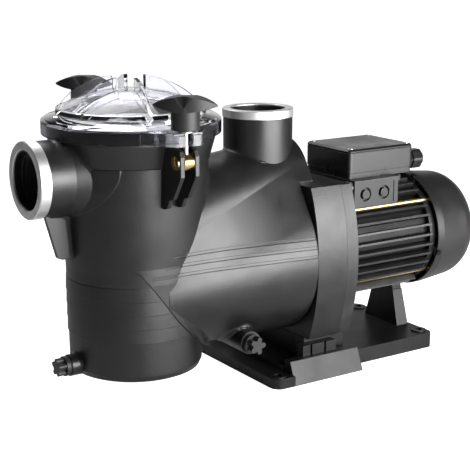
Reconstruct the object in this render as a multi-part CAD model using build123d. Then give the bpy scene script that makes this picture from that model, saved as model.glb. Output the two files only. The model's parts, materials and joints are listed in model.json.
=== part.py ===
"""Self-priming pool pump: strainer pot with a clear lid, volute, motor and base.

Millimetres, +Z up, +X from the suction port towards the motor. The origin is on the floor,
below the shaft, at the middle of the base. While it is modelled the strainer's axis is at x = 0,
and save() moves every sub-part by POT_X.
"""
from build123d import *
from math import acos, cos, pi, sin, sqrt
import os

# ---- driving dimensions -------------------------------------------------------------------
POT_X = -255.0          # strainer axis, measured from the origin
SHAFT_Z = 137.0         # shaft height above the floor
WALL = 6.0              # moulded wall of the wet end

POT_BOTTOM = 30.5
POT_R_LOW, POT_R_MID, POT_R_TOP = 73.8, 75.5, 82.0
COLLAR_Z, COLLAR_R = 266.0, 91.0
NECK_TOP, NECK_R = 304.8, 90.5
SUCTION_Z, PORT_R, RING_R = 252.0, 40.0, 41.0
SUCTION_X = -126.0      # outer face of the suction ring
RING_BORE_R, RING_LEN, RING_LEN_UP = 31.8, 12.0, 9.4
SOCKET_R, THREAD_R, PASSAGE_R = 30.8, 28.4, 25.0
SOCKET_LEN, THREAD_LEN = 10.0, 28.0
DISCHARGE_X, DISCHARGE_Z = 164.7, 307.3
CHAMBER_X = 104.0       # strainer-side wall of the pumping chamber
PAD_IN_R, PAD_HALF, PAD_DROP = 76.0, 67.0, 55.0
VOLUTE_X0, VOLUTE_X1 = 0.0, 184.0
# volute sections as (lower radius, lower centre z, upper radius, upper centre z)
VOLUTE_IN = (76.8, 122.0, 74.0, 171.0)
VOLUTE_OUT = (94.8, 136.5, 52.0, 217.0)
HOOD_X, HOOD_GAP = 203.0, 4.0  # how far the hood overhangs the flange, and how high above it
GROOVE_Z, GROOVE_WIDE, GROOVE_DEEP = (167.0, 157.0, 147.0), 3.2, 0.9
SKIN = 1.2              # the volute's skin stands this proud of the strainer
SKIN_LINE = ((74, 34), (48, 60), (12, 96), (-30, 152), (-52, 166))  # its slanted edge, (x, z)
RING_COUNT, RING_PITCH, RING_LOW = 4, 15.3, 76.0
FLANGE_X0, FLANGE_X1, FLANGE_X2 = 187.0, 229.0, 245.0
FLANGE_HALF_H, FLANGE_HALF_W, FLANGE_BULGE = 90.0, 74.0, 17.0
FLANGE_BOLT_Y, FLANGE_BOLT_Z = 64.5, 78.0
FLANGE_TOP = SHAFT_Z - 5 + FLANGE_HALF_H
FLANGE_BASE = SHAFT_Z - 4 - FLANGE_HALF_H
SEAL_X, SEAT_R = 184.0, 19.0
BACK_BORE_R, PLATE_R, PLATE_X = 84.2, 88.0, 178.0

LID_R, LID_SKIRT_Z, LID_SEAT_Z = 97.0, 292.6, 305.0
LID_RING_R, LID_RING_Z = 81.0, 321.0
DOME_TOP, DOME_THICK = 340.0, 4.5
RIB_TOP, RIB_INNER_R, RIB_COUNT, RIB_THICK, RIB_PHASE = 352.5, 21.0, 6, 4.0, 16.0

HANDLE_Z, HANDLE_STUB_Y, HANDLE_STUB_R = 283.0, 70.0, 2.0

BOLT_Y, PIVOT_Z, BOLT_R = 113.0, 276.0, 3.0
LUG_IN, LUG_OUT = 6.5, 10.8
EAR_TOP, EAR_HALF, EAR_ROOT, EAR_END = 306.0, 18.0, 42.0, 122.0
KNOB_Z = 308.4          # underside of the knob's shank
KNOB_R, KNOB_HALF_SPAN, KNOB_HALF_DEEP = 14.8, 33.0, 14.5
KNOB_UNDER, KNOB_TIP_LOW, KNOB_TIP_HIGH, KNOB_TOP = 327.6, 332.8, 334.2, 343.0
KNOB_TURN = -41.0       # where the tightened knob's wing points, degrees from +X

POT_PLUG_Z = 43.0
VOLUTE_PLUG_X, VOLUTE_PLUG_Z, VOLUTE_PLUG_Y = 103.0, 56.0, -78.0
PLUG_R, BOSS_R = 8.0, 12.0

MOTOR_X1 = 386.0        # rear end of the stator housing
TUBE_R, CORE_R, BORE_R, ROTOR_R, FIN_R = 59.0, 56.0, 33.0, 32.6, 70.5
FIN_COUNT, FIN_THICK = 36, 3.4
ROD_Y, ROD_Z, ROD_R = 45.0, 44.0, 3.0
FRONT_BEARING_X, REAR_BEARING_X = 231.0, 376.0
BEARING_R, BEARING_BORE, BEARING_W = 20.0, 8.5, 12.0
SHAFT_R = 8.5
BLOCK_X0, BLOCK_X1, BLOCK_HALF, BLOCK_TOP = 268.0, 334.0, 52.0, 218.0
KNOCKOUT_X, KNOCKOUT_Z, LIP = (285.0, 313.0), 200.0, 2.5  # round plugs and lip of the block
BOX_X0, BOX_X1, BOX_HALF = 267.0, 364.0, 42.0
BOX_STEP, BOX_SPLIT, BOX_TOP = 225.0, 249.0, 253.3
GLAND_Y, GLAND_Z, GLAND_R, CABLE_R = -28.0, 231.5, 8.0, 4.5
COVER_R0, COVER_R1, COVER_X1, COVER_END_R = 72.0, 68.0, 461.0, 46.0
SCREW_TURN = 15.0       # first fan-cover screw, degrees round the shaft from the top

BASE_X0, BASE_STEP_X, BASE_X1 = 125.0, 250.0, 380.0
BASE_WIDE, BASE_NARROW = 97.0, 76.5
BASE_LOW, BASE_HIGH = 12.0, 18.3
SKIRT_X0, SKIRT_TOP, SKIRT_LEAN = 152.0, 26.0, 11.0  # sloping skirts beside the flange
CRADLE_X0, CRADLE_X1, CRADLE_HALF = 186.0, 244.0, 66.0
CLIP_X0, CLIP_X1, CLIP_Y, CLIP_TOP = 176.0, 224.0, 78.0, 38.0
PEDESTAL_X0, PEDESTAL_X1, PAD = 358.0, 376.0, 3.0
PEDESTAL_LOW_HALF, PEDESTAL_TOP_HALF = 32.5, 20.0
HOLE_R, HOLE_FRONT_X, HOLE_FRONT_Y, HOLE_REAR_X, HOLE_REAR_Y = 4.5, 136.0, 85.0, 369.5, 59.3
BOSS_HIGH = 1.2         # the bosses round the floor-bolt holes

os.makedirs("parts", exist_ok=True)


# ---- helpers ------------------------------------------------------------------------------
def save(name, shape):
    export_step(Pos(POT_X, 0, 0) * shape, f"parts/{name}.step")


def join(shapes):
    """Separate solids in one node."""
    return Compound(children=[s for shape in shapes for s in shape.solids()])


def lathe_z(points):
    """Solid of revolution about Z from (radius, z) corners."""
    face = Plane.XZ * make_face(Polyline(*points, close=True))
    return revolve(face, Axis.Z)


def lathe_x(points, z=SHAFT_Z):
    """Solid of revolution about the shaft from (x, radius) corners."""
    face = Plane.XZ * make_face(Polyline(*points, close=True))
    return Pos(0, 0, z) * revolve(face, Axis.X)


def rod_x(x0, x1, r, y=0.0, z=SHAFT_Z):
    return Pos((x0 + x1) / 2, y, z) * Rot(0, 90, 0) * Cylinder(r, x1 - x0)


def rod_y(y0, y1, r, x, z):
    return Pos(x, (y0 + y1) / 2, z) * Rot(90, 0, 0) * Cylinder(r, y1 - y0)


def rod_z(z0, z1, r, x=0.0, y=0.0):
    return Pos(x, y, (z0 + z1) / 2) * Cylinder(r, z1 - z0)


def tube_x(x0, x1, r_in, r_out, y=0.0, z=SHAFT_Z):
    return rod_x(x0, x1, r_out, y, z) - rod_x(x0 - 1, x1 + 1, r_in, y, z)


def block(x0, x1, y0, y1, z0, z1):
    return Pos((x0 + x1) / 2, (y0 + y1) / 2, (z0 + z1) / 2) * Box(x1 - x0, y1 - y0, z1 - z0)


def hex_x(x0, x1, across, y, z):
    face = Plane.YZ.offset(x0) * Pos(y, z) * RegularPolygon(across / sqrt(3), 6)
    return extrude(face, x1 - x0)


def plate_x(x0, x1, points):
    """A (y, z) outline extruded along X."""
    return extrude(Plane.YZ.offset(x0) * make_face(Polyline(*points, close=True)), x1 - x0)


def mirror_y(shape):
    return mirror(shape, about=Plane.XZ)


def torus_z(major, minor, z):
    return Pos(0, 0, z) * Torus(major, minor)


def torus_x(major, minor, x, y=0.0, z=SHAFT_Z):
    return Pos(x, y, z) * Rot(0, 90, 0) * Torus(major, minor)


# ---- wet-end sections ---------------------------------------------------------------------
def volute_face(x, cut=0.0):
    """Volute section in a YZ plane: two circles, one above the other, joined by their common
    tangents. It changes evenly from the strainer's end to the flange's end."""
    t = (x - VOLUTE_X0) / (VOLUTE_X1 - VOLUTE_X0)
    r_low, z_low, r_high, z_high = [a + (b - a) * t for a, b in zip(VOLUTE_IN, VOLUTE_OUT)]
    r_low, r_high = r_low - cut, r_high - cut
    lean = acos((r_low - r_high) / (z_high - z_low))
    y0, z0 = r_low * sin(lean), z_low + r_low * cos(lean)
    y1, z1 = r_high * sin(lean), z_high + r_high * cos(lean)
    edges = [
        Line((y0, z0), (y1, z1)),
        ThreePointArc((y1, z1), (0, z_high + r_high), (-y1, z1)),
        Line((-y1, z1), (-y0, z0)),
        ThreePointArc((-y0, z0), (0, z_low - r_low), (y0, z0)),
    ]
    return Plane.YZ.offset(x) * make_face(edges)


def volute_solid(x0, x1, cut=0.0):
    return loft([volute_face(x0, cut), volute_face(x1, cut)])


def flange_face(x, shrink=0.0):
    """Flange outline: flat top and bottom, sides bulging outwards."""
    half_w = FLANGE_HALF_W - shrink
    low, high = FLANGE_BASE + shrink, FLANGE_TOP - shrink
    middle = (low + high) / 2
    edges = [
        Line((-half_w, high), (half_w, high)),
        ThreePointArc((half_w, high), (half_w + FLANGE_BULGE, middle), (half_w, low)),
        Line((half_w, low), (-half_w, low)),
        ThreePointArc((-half_w, low), (-half_w - FLANGE_BULGE, middle), (-half_w, high)),
    ]
    return Plane.YZ.offset(x) * make_face(edges)


def pot_outer():
    step = 1.2
    return lathe_z([
        (0, POT_BOTTOM), (POT_R_LOW - 8, POT_BOTTOM), (POT_R_LOW - 2.4, POT_BOTTOM + 2.4),
        (POT_R_LOW, POT_BOTTOM + 8), (POT_R_MID, 150), (POT_R_TOP, 240),
        (POT_R_TOP + 1, COLLAR_Z - step), (POT_R_TOP + 1 + step, COLLAR_Z),
        (COLLAR_R, 290), (COLLAR_R, 292), (NECK_R, 292), (NECK_R, NECK_TOP), (0, NECK_TOP),
    ])


def pot_inner():
    return lathe_z([
        (0, POT_BOTTOM + WALL), (POT_R_LOW - WALL - 4, POT_BOTTOM + WALL),
        (POT_R_LOW - WALL, POT_BOTTOM + WALL + 4), (POT_R_MID - WALL, 150), (POT_R_TOP - WALL, 240),
        (79, 288), (79, NECK_TOP + 1), (0, NECK_TOP + 1),
    ])


def pot_radius(z):
    """Radius of the lower strainer at a height."""
    return POT_R_LOW + (POT_R_MID - POT_R_LOW) * (z - POT_BOTTOM - 8) / (150 - POT_BOTTOM - 8)


def pot_rings():
    """Shallow clapboard steps round the lower strainer, ending just short of the skin's edge."""
    under, gap = 3.0, 1.3
    steps = [(pot_radius(RING_LOW) - under, RING_LOW)]
    for i in range(RING_COUNT):
        low = RING_LOW + i * RING_PITCH
        high = low + RING_PITCH
        steps += [(pot_radius(low) + 1.1, low), (pot_radius(high) + 0.4, high)]
    steps += [(pot_radius(high) - under, high)]
    limit = [(x - gap, z) for x, z in SKIN_LINE]
    panel = make_face(Polyline((-90, 34), *limit, (-90, 166), close=True))
    return lathe_z(steps) & extrude(Plane.XZ * panel, 90, both=True)


def volute_skin():
    """Where the volute's wall wraps round the strainer it stands a little proud of it, with a
    slanted lower edge and an upper edge that fades out."""
    low, fade, top = POT_BOTTOM + 8, 140.0, 178.0
    ring = lathe_z([(POT_R_LOW - 3, low), (pot_radius(low) + SKIN, low), (pot_radius(fade) + SKIN, fade),
                    (pot_radius(top) - 0.5, top), (POT_R_LOW - 3, top)])
    panel = make_face(Polyline((90, 20), (76, 20), *SKIN_LINE, (-52, 190), (90, 190), close=True))
    return ring & extrude(Plane.XZ * panel, 90, both=True)


def port_pad():
    """Slightly raised U-shaped panel on the strainer, round the suction port."""
    panel = lathe_z([(PAD_IN_R, 200), (POT_R_TOP - 2.6, 200), (POT_R_TOP + 1.2, 240),
                     (POT_R_TOP + 2.0, COLLAR_Z - 1), (PAD_IN_R, COLLAR_Z - 1)])
    outline = Pos(0, COLLAR_Z) * Ellipse(PAD_HALF, PAD_DROP)
    return panel & extrude(Plane.YZ.offset(-100) * outline, 60)


def side_grooves():
    """Three thin lines along both sides of the strainer and volute."""
    kept = volute_solid(VOLUTE_X0, HOOD_X, GROOVE_DEEP) + rod_z(100, 200, POT_R_MID + 0.8 - GROOVE_DEEP)
    cuts = []
    for z, x0 in zip(GROOVE_Z, (5, -4, -19)):
        cuts.append(block(x0, VOLUTE_X1 + 1, -110, 110, z - GROOVE_WIDE / 2, z + GROOVE_WIDE / 2))
    return join([cut - kept for cut in cuts])


def lug_pair(side):
    """The two ears that carry a swing bolt's pin; side is -1 at the front and +1 at the back."""
    outline = [(76, 291), (113, 291), (119, 288), (121.5, 282), (121.5, 262), (105, 237), (98, 235),
               (93, 226), (88, 224), (76, 224)]
    points = [(side * y, z) for y, z in outline]
    return plate_x(LUG_IN, LUG_OUT, points) + plate_x(-LUG_OUT, -LUG_IN, points)


def body_outside():
    """Everything the moulding has on the outside, before it is hollowed."""
    body = pot_outer() + pot_rings() + volute_skin()
    body += volute_solid(VOLUTE_X0, HOOD_X) - rod_z(0, 320, 60)
    body += rod_z(200, DISCHARGE_Z - RING_LEN_UP, PORT_R, DISCHARGE_X)
    body -= block(VOLUTE_X1, 240, -110, 110, 0, FLANGE_TOP + HOOD_GAP)
    body += extrude(volute_face(VOLUTE_X1, 4), FLANGE_X0 - VOLUTE_X1 + 1)
    body += extrude(flange_face(FLANGE_X0), FLANGE_X1 - FLANGE_X0)
    body += port_pad()
    body += rod_x(SUCTION_X + RING_LEN, -40, PORT_R, 0, SUCTION_Z)
    body += lathe_x([(-86, 0), (-86, PORT_R), (-62, 47), (-30, 47), (-30, 0)], SUCTION_Z)
    gusset = make_face(Polyline((-107, 216), (-93, 165), (-88, 163), (-60, 163), (-60, 216), close=True))
    body += extrude(Plane.XZ * gusset, 3, both=True)
    for side in (-1, 1):
        body += lug_pair(side)
    body += rod_x(-84, -60, BOSS_R, 0, POT_PLUG_Z)
    body += rod_y(VOLUTE_PLUG_Y, -20, BOSS_R + 1, VOLUTE_PLUG_X, VOLUTE_PLUG_Z)
    # sleeves inside the two port rings
    body += rod_x(SUCTION_X + 2, -100, RING_BORE_R, 0, SUCTION_Z)
    body += rod_z(260, DISCHARGE_Z - 2, RING_BORE_R, DISCHARGE_X)
    return body


def pump_body():
    """One moulding: strainer pot, volute with its hood, flange, port sleeves, lugs and drain bosses."""
    body = body_outside()
    # strainer and pumping chamber, with the suction eye between them
    body -= pot_inner()
    body -= volute_solid(CHAMBER_X, PLATE_X - WALL / 2, WALL)
    body -= volute_solid(20, CHAMBER_X - WALL, WALL)
    body -= rod_x(90, 110, 30.2)
    # seats of the back plate
    body -= rod_x(PLATE_X - WALL, FLANGE_X0 + 1, BACK_BORE_R)
    body -= rod_x(FLANGE_X0, FLANGE_X1 + 1, PLATE_R + 0.2)
    body -= port_bores()
    body -= side_grooves()
    body -= small_holes()
    return body


def port_bores():
    """Socket, threaded length and passage of both ports."""
    low = SUCTION_X + SOCKET_LEN
    suction = rod_x(SUCTION_X - 1, low, SOCKET_R, 0, SUCTION_Z)
    suction += rod_x(SUCTION_X, low + THREAD_LEN, THREAD_R, 0, SUCTION_Z)
    suction += rod_x(SUCTION_X, -50, PASSAGE_R, 0, SUCTION_Z)
    high = DISCHARGE_Z - SOCKET_LEN
    discharge = rod_z(high, DISCHARGE_Z + 1, SOCKET_R, DISCHARGE_X)
    discharge += rod_z(high - THREAD_LEN, DISCHARGE_Z, THREAD_R, DISCHARGE_X)
    discharge += rod_z(FLANGE_TOP + 2 * WALL, DISCHARGE_Z, PASSAGE_R, DISCHARGE_X)
    return join([suction, discharge])


def small_holes():
    """O-ring groove in the neck, pin holes, bolt holes and drain holes."""
    holes = [rod_z(300.4, 310, 87.6) - rod_z(300, 311, 82.4)]
    holes += [rod_x(-20, 20, 4.0, side * BOLT_Y, PIVOT_Z) for side in (-1, 1)]
    holes += [flange_bolt_holes()]
    holes += [rod_x(-90, -50, PLUG_R + 0.05, 0, POT_PLUG_Z)]
    holes += [rod_y(-90, 10, PLUG_R + 0.05, VOLUTE_PLUG_X, VOLUTE_PLUG_Z)]
    return join(holes)


def port_ring(length):
    """Metal ring pressed over a port's mouth, about Z with its outer face at z = 0."""
    face = make_face(Polyline((RING_BORE_R, -length), (RING_R, -length), (RING_R, -0.8),
                              (RING_R - 0.8, 0), (RING_BORE_R + 0.8, 0), (RING_BORE_R, -0.8), close=True))
    return revolve(Plane.XZ * face, Axis.Z)


# ---- strainer -----------------------------------------------------------------------------
def dome_arc(r_base, z_base, z_top):
    """Radius and centre height of the sphere through a rim circle and an apex."""
    rise = z_top - z_base
    radius = (r_base ** 2 + rise ** 2) / (2 * rise)
    return radius, z_top - radius


def lid():
    shell = lathe_z([
        (0, LID_SEAT_Z), (LID_R - 5.4, LID_SEAT_Z), (LID_R - 5.4, LID_SKIRT_Z), (LID_R - 1, LID_SKIRT_Z),
        (LID_R, LID_SKIRT_Z + 1), (LID_R, 307.5), (LID_R - 3, 310.5), (84, 313.2), (LID_RING_R, 314),
        (LID_RING_R, LID_RING_Z - 1), (LID_RING_R - 1, LID_RING_Z), (0, LID_RING_Z),
    ])
    r_out, c_out = dome_arc(LID_RING_R - 3, LID_RING_Z, DOME_TOP)
    r_in, c_in = dome_arc(LID_RING_R - 6, LID_RING_Z - DOME_THICK - 2, DOME_TOP - DOME_THICK)
    above = rod_z(LID_RING_Z - 1, 360, 90)
    lid_solid = shell + (Pos(0, 0, c_out) * Sphere(r_out) & above)
    # ribs: vertical fins whose top edge is an arc from the open centre down to the ring
    edge = [Line((RIB_INNER_R, 330), (RIB_INNER_R, RIB_TOP)),
            ThreePointArc((RIB_INNER_R, RIB_TOP), (53, 343.2), (LID_RING_R - 1.5, LID_RING_Z)),
            Line((LID_RING_R - 1.5, LID_RING_Z), (LID_RING_R - 1.5, 317)),
            Line((LID_RING_R - 1.5, 317), (RIB_INNER_R, 330))]
    rib = extrude(Plane.XZ * make_face(edge), RIB_THICK / 2, both=True)
    for i in range(RIB_COUNT):
        lid_solid += Rot(0, 0, RIB_PHASE + 360 / RIB_COUNT * i) * rib
    # hollow under the dome
    lid_solid -= Pos(0, 0, c_in) * Sphere(r_in) & rod_z(LID_RING_Z - DOME_THICK - 2, 360, LID_RING_R - 6)
    lid_solid -= rod_z(LID_SEAT_Z - 1, LID_RING_Z - DOME_THICK - 2, LID_RING_R - 6)
    for put in (lambda shape: shape, rear):
        lid_solid = lid_solid + put(lid_ear()) - put(lid_slot())
    return lid_solid


def lid_ear():
    """Tapered ear that the front knob presses on."""
    outline = Polyline((-EAR_ROOT, -84), (EAR_ROOT, -84), (EAR_HALF, 5 - EAR_END), (EAR_HALF - 5, -EAR_END),
                       (5 - EAR_HALF, -EAR_END), (-EAR_HALF, 5 - EAR_END), close=True)
    ear = extrude(Plane.XY.offset(LID_SKIRT_Z + 0.4) * make_face(outline), EAR_TOP - LID_SKIRT_Z - 0.4)
    return ear - rod_z(280, 320, NECK_R + 1.1)


def lid_slot():
    """Open slot for the front swing bolt, and a shallow step along the ear's end."""
    centre = 1.5 - BOLT_Y
    slot = rod_z(280, 320, 4.5, 0, centre) + block(-4.5, 4.5, -EAR_END - 1, centre, 280, 320)
    return slot + block(-EAR_HALF - 1, EAR_HALF + 1, -EAR_END - 1, 3.5 - EAR_END, EAR_TOP - 2, EAR_TOP + 1)


def basket():
    wall = 1.8
    top, low = 290.0, 42.0
    outer = [(0, low), (60, low), (71.5, top), (76.5, top), (76.5, top + 2.5), (71.5 - wall, top + 2.5),
             (60 - wall, low + wall), (0, low + wall)]
    shell = lathe_z(outer)
    slots = []
    columns, rows = 28, 6
    for row in range(rows):
        for i in range(columns // 2):
            turn = Rot(0, 0, 360 / columns * (i + 0.5 * (row % 2)))
            slots.append(turn * (Pos(0, 0, 66 + row * 27) * Box(200, 5.0, 17)))
    for i in range(3):
        slots.append(Rot(0, 0, 60 * i + 30) * (Pos(0, 0, low) * Box(86, 6, 8)))
    for slot in slots:
        shell -= slot
    shell -= rod_x(-100, 0, 30, 0, SUCTION_Z)
    return shell - stub_pair(0.08)


def basket_handle():
    """Bail across the basket's mouth, with a stub at each end that turns in the basket's wall."""
    half, rise = 66.0, 17.0
    bar = make_face([Line((-half, HANDLE_Z - 4), (-half, HANDLE_Z + 4)),
                     ThreePointArc((-half, HANDLE_Z + 4), (0, HANDLE_Z + rise), (half, HANDLE_Z + 4)),
                     Line((half, HANDLE_Z + 4), (half, HANDLE_Z - 4)),
                     ThreePointArc((half, HANDLE_Z - 4), (0, HANDLE_Z + rise - 4), (-half, HANDLE_Z - 4))])
    bail = extrude(Plane.YZ * bar, 4, both=True)
    return bail + stub_pair()


def stub_pair(extra=0.0):
    """The bail's two stubs, or with extra, the holes they turn in."""
    r, inner, outer = HANDLE_STUB_R + extra, 60.0, HANDLE_STUB_Y + 10 * extra
    return rod_y(-outer, -inner, r, 0, HANDLE_Z) + rod_y(inner, outer, r, 0, HANDLE_Z)


def swing_bolt():
    """Eye bolt in the front position; the eye's hole is on the pin's axis."""
    eye = rod_x(-6, 6, 8.2, -BOLT_Y, PIVOT_Z)
    shank = rod_z(PIVOT_Z, KNOB_Z + 18, BOLT_R, 0, -BOLT_Y)
    return eye + shank - rod_x(-10, 10, 4.05, -BOLT_Y, PIVOT_Z)


def pivot_pin():
    """Brass pin with a slotted head on the outside of the left lug."""
    pin = rod_x(-LUG_OUT, LUG_OUT + 1.4, 3.98, -BOLT_Y, PIVOT_Z)
    head = rod_x(-LUG_OUT - 2, -LUG_OUT, 7.0, -BOLT_Y, PIVOT_Z)
    slot = Pos(-LUG_OUT - 2, -BOLT_Y, PIVOT_Z) * Box(1.6, 1.4, 12)
    return pin + head - slot


def knob():
    """T-shaped hand nut: a round shank under a wing that is a pointed oval from above and a
    shallow lens from the side, pinched at its middle."""
    shank = rod_z(KNOB_Z + 1, 332, KNOB_R, 0, -BOLT_Y) + rod_z(KNOB_Z, KNOB_Z + 1, KNOB_R - 1, 0, -BOLT_Y)
    body = shank + Pos(0, -BOLT_Y, 0) * Rot(0, 0, KNOB_TURN) * knob_wing()
    body -= rod_z(KNOB_Z - 1, KNOB_Z + 10, 5.5, 0, -BOLT_Y)
    return body - rod_z(KNOB_Z, KNOB_Z + 27, BOLT_R + 0.4, 0, -BOLT_Y)


def knob_wing():
    """The wing along X, about Z."""
    half, low, high = KNOB_HALF_SPAN, KNOB_TIP_LOW, KNOB_TIP_HIGH
    lens = [ThreePointArc((-half, low), (0, KNOB_UNDER), (half, low)), Line((half, low), (half, high)),
            ThreePointArc((half, high), (0, KNOB_TOP), (-half, high)), Line((-half, high), (-half, low))]
    side = extrude(Plane.XZ * make_face(lens), 20, both=True)
    plan = make_face([ThreePointArc((-half, 0), (0, -KNOB_HALF_DEEP), (half, 0)),
                      ThreePointArc((half, 0), (0, KNOB_HALF_DEEP), (-half, 0))])
    wing = side & extrude(Plane.XY.offset(320) * plan, 30)
    pinch = Pos(0, KNOB_HALF_DEEP + 1.0, KNOB_TOP - 4.5) * Cone(1.0, 11.0, 13)
    return wing - pinch - mirror_y(pinch)


def knob_insert():
    insert = rod_z(KNOB_Z, KNOB_Z + 10, 5.5, 0, -BOLT_Y)
    return insert - rod_z(KNOB_Z - 1, KNOB_Z + 11, BOLT_R + 0.05, 0, -BOLT_Y)


def knob_washer():
    return rod_z(KNOB_Z - 1.6, KNOB_Z, 9.0, 0, -BOLT_Y) - rod_z(300, 312, BOLT_R + 0.3, 0, -BOLT_Y)


def drain_plug():
    """Wing plug about Z: the flange's underside is at z = 0 and the stem goes down."""
    plug = rod_z(-14, 0, PLUG_R) + rod_z(0, 4, 11.0) + rod_z(4, 13, 6.5)
    for i in range(5):
        plug += Rot(0, 0, 72 * i) * rod_z(3.5, 13, 2.9, 7.2)
    return plug


def drain_seal():
    """Flat sealing ring under the plug's collar."""
    return rod_z(-2.0, 0, 10.5) - rod_z(-3, 1, PLUG_R + 0.05)


# ---- pumping parts ------------------------------------------------------------------------
def diffuser():
    """Bell with a suction snout and guide vanes round the impeller."""
    bell = lathe_x([(94, 24.4), (94, 29.9), (140, 29.9), (146, 40), (146, 80), (151, 80), (151, 40),
                    (149, 26), (146, 24.4)])
    for i in range(8):
        bell += Pos(162, 0, SHAFT_Z) * Rot(45 * i, 0, 0) * Pos(0, 0, 72.5) * Box(23, 3, 14)
    return bell


def impeller():
    back = lathe_x([(168, 7), (168, 62), (171, 62), (171, 16), (177, 13), (177, 7)])
    front = lathe_x([(140, 20.5), (140, 24), (152, 24), (157, 30), (159, 62), (162, 62), (160, 30),
                     (154, 20.5)])
    wheel = back + front
    for i in range(6):
        blade = extrude(Plane.YZ.offset(159.5) * make_face([
            ThreePointArc((14, 0), (30, 22), (60, 12)), Line((60, 12), (60, 15)),
            ThreePointArc((60, 15), (28, 25), (11, 2)), Line((11, 2), (14, 0))]), 9)
        wheel += Pos(0, 0, SHAFT_Z) * Rot(60 * i, 0, 0) * blade
    return wheel + tube_x(159, 169, 7, 13)


def seal_plate():
    """Round back wall of the pumping chamber, with the shaft seal's housing in its middle."""
    plate = rod_x(PLATE_X, FLANGE_X0, BACK_BORE_R - 0.2) + rod_x(FLANGE_X0, FLANGE_X1, PLATE_R)
    plate -= tube_x(FLANGE_X0 + 12, FLANGE_X1 + 1, 27, PLATE_R - 7)
    plate -= rod_x(170, 240, 10.5)
    plate -= rod_x(170, SEAL_X, 17.0)
    plate -= rod_x(SEAL_X, SEAL_X + 6, SEAT_R)
    plate -= rod_x(FLANGE_X1 - 19, FLANGE_X1 + 1, 21)
    return plate - tube_x(190, 194, PLATE_R - 3.2, PLATE_R + 2)


def flange_corners():
    """(y, z) of the four flange bolts."""
    signs = (-1, 1)
    return [(i * FLANGE_BOLT_Y, SHAFT_Z + j * FLANGE_BOLT_Z) for i in signs for j in signs]


def flange_bolt_holes():
    return join([rod_x(FLANGE_X1 - 24, 260, 3.1, y, z) for y, z in flange_corners()])


def motor_bracket():
    """Drive-end shield: carries the front bearing, and clamps the stator housing."""
    bracket = extrude(flange_face(FLANGE_X1, 0.8), FLANGE_X2 - FLANGE_X1)
    bracket += tube_x(FLANGE_X2, FLANGE_X2 + 4, CORE_R, TUBE_R + 6)
    bracket -= tube_x(FLANGE_X1 + 8, FLANGE_X2 + 10, 28, CORE_R - 4)
    bracket -= rod_x(FRONT_BEARING_X, FLANGE_X2 + 10, BEARING_R)
    bracket -= rod_x(220, 260, 12)
    return bracket - tie_rod_holes(220, 260) - flange_bolt_holes()


def tie_rod_holes(x0, x1, r=ROD_R + 0.1):
    return join([rod_x(x0, x1, r, y, SHAFT_Z + z) for y in (-ROD_Y, ROD_Y) for z in (-ROD_Z, ROD_Z)])


def flange_bolts():
    """Four studs in the body's flange, with a washer and a nut each on the motor side."""
    bolts = []
    for y, z in flange_corners():
        bolt = rod_x(FLANGE_X1 - 22, FLANGE_X2, 3.0, y, z) + rod_x(FLANGE_X2, FLANGE_X2 + 1.2, 6.8, y, z)
        bolts.append(bolt + hex_x(FLANGE_X2 + 1.2, FLANGE_X2 + 6.5, 10, y, z))
    return join(bolts)


# ---- motor --------------------------------------------------------------------------------
def fin(i, x0, x1, r0, r1):
    """Cooling fin number i: radial, a little thinner at its tip."""
    outline = Polyline((-FIN_THICK / 2, r0), (FIN_THICK / 2, r0), (FIN_THICK / 2 - 0.4, r1),
                       (-FIN_THICK / 2 + 0.4, r1), close=True)
    solid = extrude(Plane.YZ.offset(x0) * make_face(outline), x1 - x0)
    return Pos(0, 0, SHAFT_Z) * Rot(360 / FIN_COUNT * (i + 0.5), 0, 0) * solid


def motor_housing():
    """Finned stator housing with the cast block that carries the terminal box."""
    x0, x1 = FLANGE_X2 + 4, MOTOR_X1
    housing = tube_x(x0, x1, CORE_R, TUBE_R)
    # no fin where a tie rod passes
    housing += [fin(i, x0, x1 - 8, TUBE_R - 1.5, FIN_R) for i in range(FIN_COUNT) if i % 9 != 4]
    housing += tube_x(x1 - 8, x1, CORE_R, FIN_R - 5)
    platform = block(BLOCK_X0, BLOCK_X1, -BLOCK_HALF, BLOCK_HALF, SHAFT_Z + 47.4, BLOCK_TOP)
    platform += block(BLOCK_X1 - 6, BLOCK_X1, -BLOCK_HALF - 1, BLOCK_HALF + 1, SHAFT_Z + 50, BLOCK_TOP)
    lip = block(BOX_X0 - 1, BLOCK_X1 + 1, -BLOCK_HALF - LIP, BLOCK_HALF + LIP, BLOCK_TOP - 5, BLOCK_TOP)
    foot = block(PEDESTAL_X0 + 2, PEDESTAL_X1 - 2, -18, 18, SHAFT_Z - FIN_R - 1, SHAFT_Z - CORE_R)
    housing += platform + lip + foot
    housing -= rod_x(x0 - 1, x1 + 1, CORE_R)
    for x in KNOCKOUT_X:
        housing -= rod_y(-BLOCK_HALF - 2, -BLOCK_HALF + 5, 8.4, x, KNOCKOUT_Z)
    return housing - tie_rod_holes(x0 - 1, x1 + 1, 4.2) - wire_hole()


def wire_hole():
    return block(300, 312, -8, 8, 180, 225)


def knockout_plugs():
    plugs = []
    for x in KNOCKOUT_X:
        plug = rod_y(-BLOCK_HALF + 3.4, -BLOCK_HALF + 5, 8.4, x, KNOCKOUT_Z)
        plug += rod_y(-BLOCK_HALF - 1.2, -BLOCK_HALF + 3.4, 5.6, x, KNOCKOUT_Z)
        plugs.append(plug)
    return join(plugs)


def stator_core():
    core = tube_x(275, 345, BORE_R + 0.4, CORE_R)
    for i in range(24):
        slot = Pos(310, 0, SHAFT_Z) * Rot(15 * i, 0, 0) * Pos(0, 0, 40) * Box(72, 3.4, 9)
        core -= slot
    return core


def windings():
    return join([tube_x(257, 274.6, 35, 52), tube_x(345.4, 363, 35, 52)])


def rotor_core():
    return tube_x(275, 345, SHAFT_R + 1.5, ROTOR_R)


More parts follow.
